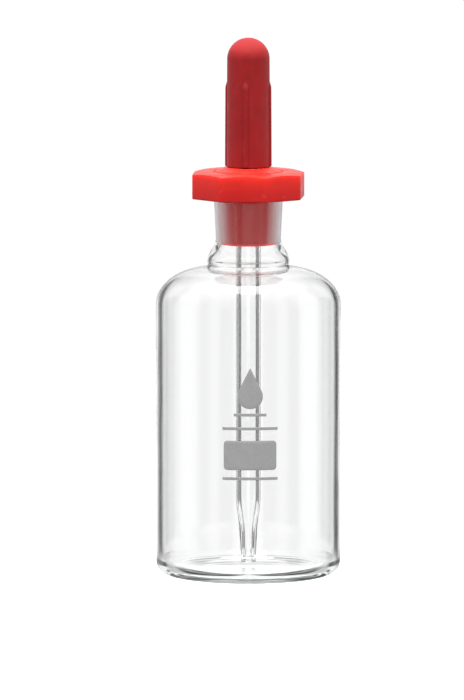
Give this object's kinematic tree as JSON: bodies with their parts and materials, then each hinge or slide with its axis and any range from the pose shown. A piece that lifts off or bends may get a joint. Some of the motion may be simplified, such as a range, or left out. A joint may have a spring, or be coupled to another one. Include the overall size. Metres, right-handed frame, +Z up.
{
  "type": "dropping bottle with pipette dropper",
  "caption": "Clear glass dropping bottle with a ground neck, an octagonal plastic stopper, a glass dropping pipette and a ribbed rubber teat.",
  "frame": {"origin": "centre of the ring that the bottle stands on, at the lowest point of the base", "axes": "+Z up along the bottle's axis, -Y towards the writing patch, +X to the right as seen from the patch"},
  "size_m": [0.0568, 0.0569, 0.165],
  "materials": {
    "bottle_glass": "clear and polished, ground matt inside the neck",
    "pipette_glass": "clear and polished",
    "stopper_plastic": "satin moulded polyethylene",
    "teat_rubber": "matt moulded rubber with a slight bloom",
    "enamel": "fired matt grey enamel"
  },
  "bodies": {
    "bottle": {"bottle": "bottle_glass", "writing_patch": "enamel", "drop_mark": "enamel", "rule_marks": "enamel"},
    "pipette": {"pipette": "pipette_glass"},
    "stopper": {"stopper": "stopper_plastic"},
    "teat": {"teat": "teat_rubber"}
  },
  "joints": [
    {"name": "dropper_lift", "type": "slide", "parent": "bottle", "child": "pipette", "axis": [0, 0, 1], "range_m": [0, 0.125]},
    {"name": "stopper_turn", "type": "hinge", "parent": "pipette", "child": "stopper", "pos_m": [0, 0, 0.11], "axis": [0, 0, 1], "continuous": true},
    {"name": "teat_pull", "type": "slide", "parent": "pipette", "child": "teat", "axis": [0, 0, 1], "range_m": [0, 0.025]}
  ]
}
